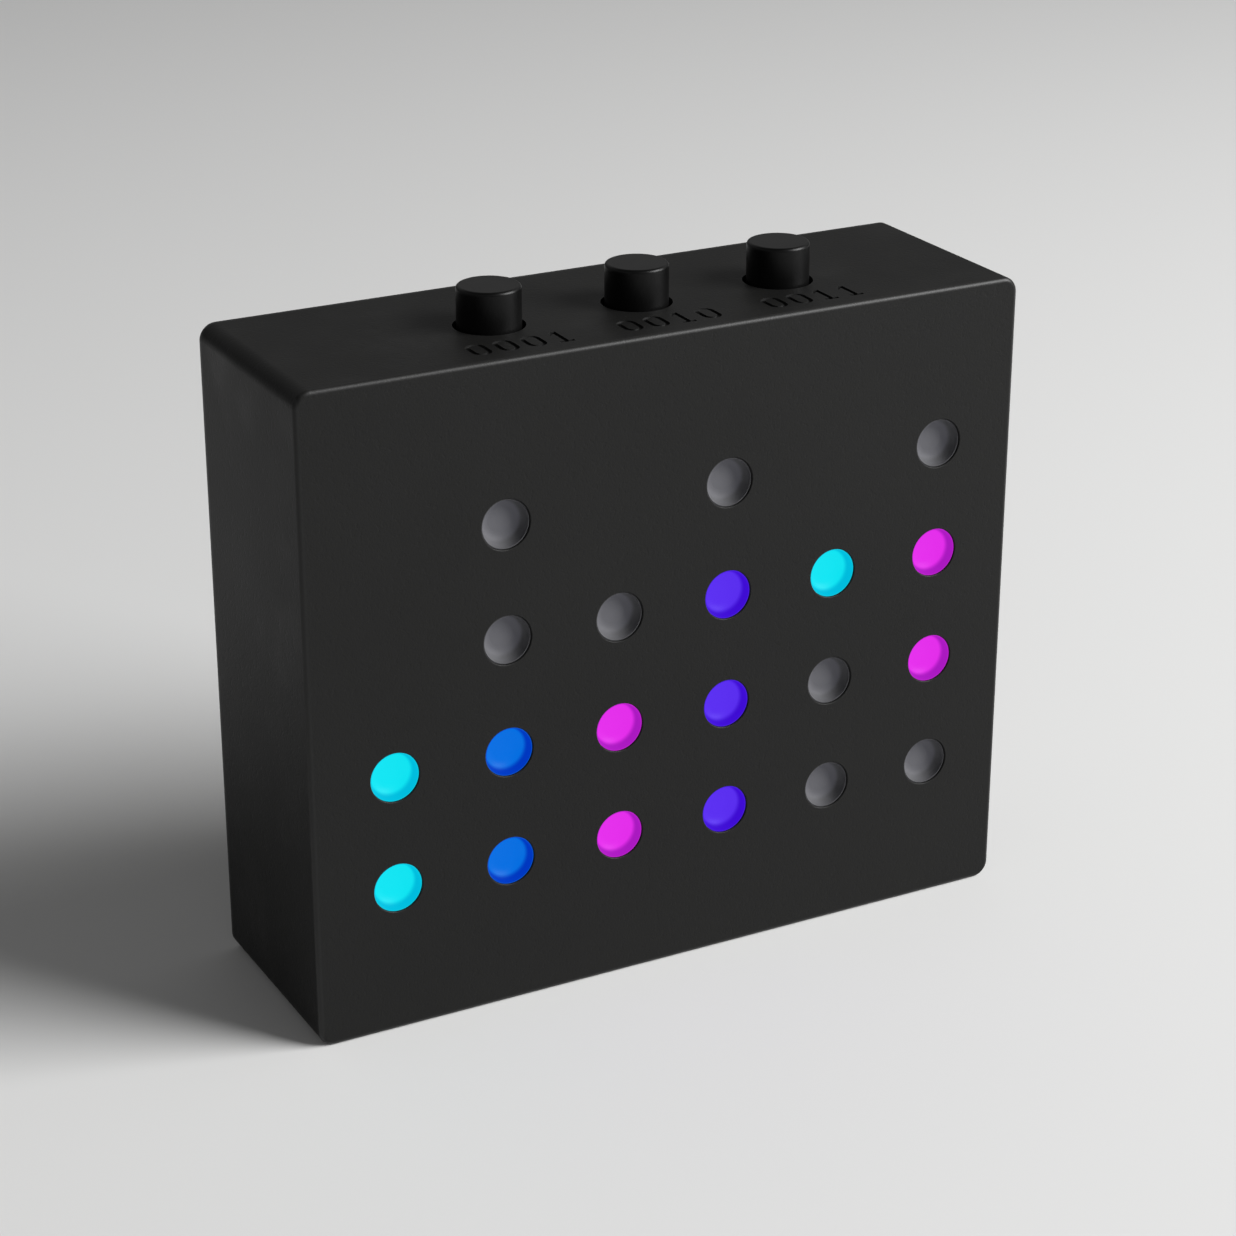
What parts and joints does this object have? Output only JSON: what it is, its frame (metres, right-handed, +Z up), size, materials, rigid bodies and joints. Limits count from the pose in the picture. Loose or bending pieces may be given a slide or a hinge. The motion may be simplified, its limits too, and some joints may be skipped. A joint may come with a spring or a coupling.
{
  "type": "binary clock",
  "caption": "Box-shaped binary clock: a field of round recessed light windows, push buttons on top, a screwed rear cover with an inlet for a power plug, and the boards and switches inside.",
  "frame": {"origin": "middle of the flat underside that the clock stands on", "axes": "+X to the right as the windows are seen, +Y from the front face back to the rear cover, +Z up"},
  "size_m": [0.129, 0.0384, 0.1176],
  "materials": {
    "case_plastic": "moulded, fine satin texture",
    "button_plastic": "moulded, satin",
    "black_steel": "black oxide",
    "brass": "turned",
    "smoked_lens": "moulded, smoked and dished, lit from behind",
    "opal_plastic": "opal sheet",
    "white_plastic": "moulded white",
    "circuit_board": "green lacquer on glass laminate",
    "lamp_white": "moulded lamp body",
    "ceramic_chip": "fired",
    "steel": "plain bright",
    "tin": "tinned",
    "chip_black": "moulded epoxy",
    "switch_black": "moulded",
    "plunger_plastic": "moulded acetal",
    "aluminium_can": "drawn can",
    "grey_ribbon": "flexible insulation",
    "red_ribbon": "flexible insulation"
  },
  "bodies": {
    "case": {"housing": "case_plastic", "rear_cover": "case_plastic", "cover_screws": "black_steel", "threaded_inserts": "brass", "hour_tens_lenses": "smoked_lens", "hour_units_lenses": "smoked_lens", "minute_tens_lenses": "smoked_lens", "minute_units_lenses": "smoked_lens", "second_tens_lenses": "smoked_lens", "second_units_lenses": "smoked_lens", "diffuser_sheet": "opal_plastic", "light_cups": "white_plastic", "lamp_board": "circuit_board", "lamps": "lamp_white", "lamp_capacitors": "ceramic_chip", "board_screws": "steel", "controller_chip": "chip_black", "clock_chip": "chip_black", "chip_leads": "tin", "crystal": "steel", "cell_holder": "switch_black", "coin_cell": "steel", "cell_clip": "steel", "switch_board": "circuit_board", "switch_pins": "tin", "hour_switch_base": "switch_black", "minute_switch_base": "switch_black", "mode_switch_base": "switch_black", "hour_switch_lid": "switch_black", "minute_switch_lid": "switch_black", "mode_switch_lid": "switch_black", "hour_spring": "steel", "minute_spring": "steel", "mode_spring": "steel", "inlet_board": "circuit_board", "inlet_shell": "steel", "inlet_tongue": "switch_black", "inlet_capacitor": "aluminium_can", "regulator": "chip_black", "link_sockets": "white_plastic", "switch_ribbon": "grey_ribbon", "power_ribbon": "red_ribbon"},
    "hour_key": {"hour_plunger": "plunger_plastic", "hour_button": "button_plastic"},
    "minute_key": {"minute_plunger": "plunger_plastic", "minute_button": "button_plastic"},
    "mode_key": {"mode_plunger": "plunger_plastic", "mode_button": "button_plastic"}
  },
  "joints": [
    {"name": "hour_press", "type": "slide", "parent": "case", "child": "hour_key", "axis": [0, 0, -1], "range_m": [0, 0.002], "stiffness_N_per_m": 500, "springref_m": -0.002, "deforming": ["hour_spring"]},
    {"name": "minute_press", "type": "slide", "parent": "case", "child": "minute_key", "axis": [0, 0, -1], "range_m": [0, 0.002], "stiffness_N_per_m": 500, "springref_m": -0.002, "deforming": ["minute_spring"]},
    {"name": "mode_press", "type": "slide", "parent": "case", "child": "mode_key", "axis": [0, 0, -1], "range_m": [0, 0.002], "stiffness_N_per_m": 500, "springref_m": -0.002, "deforming": ["mode_spring"]}
  ]
}
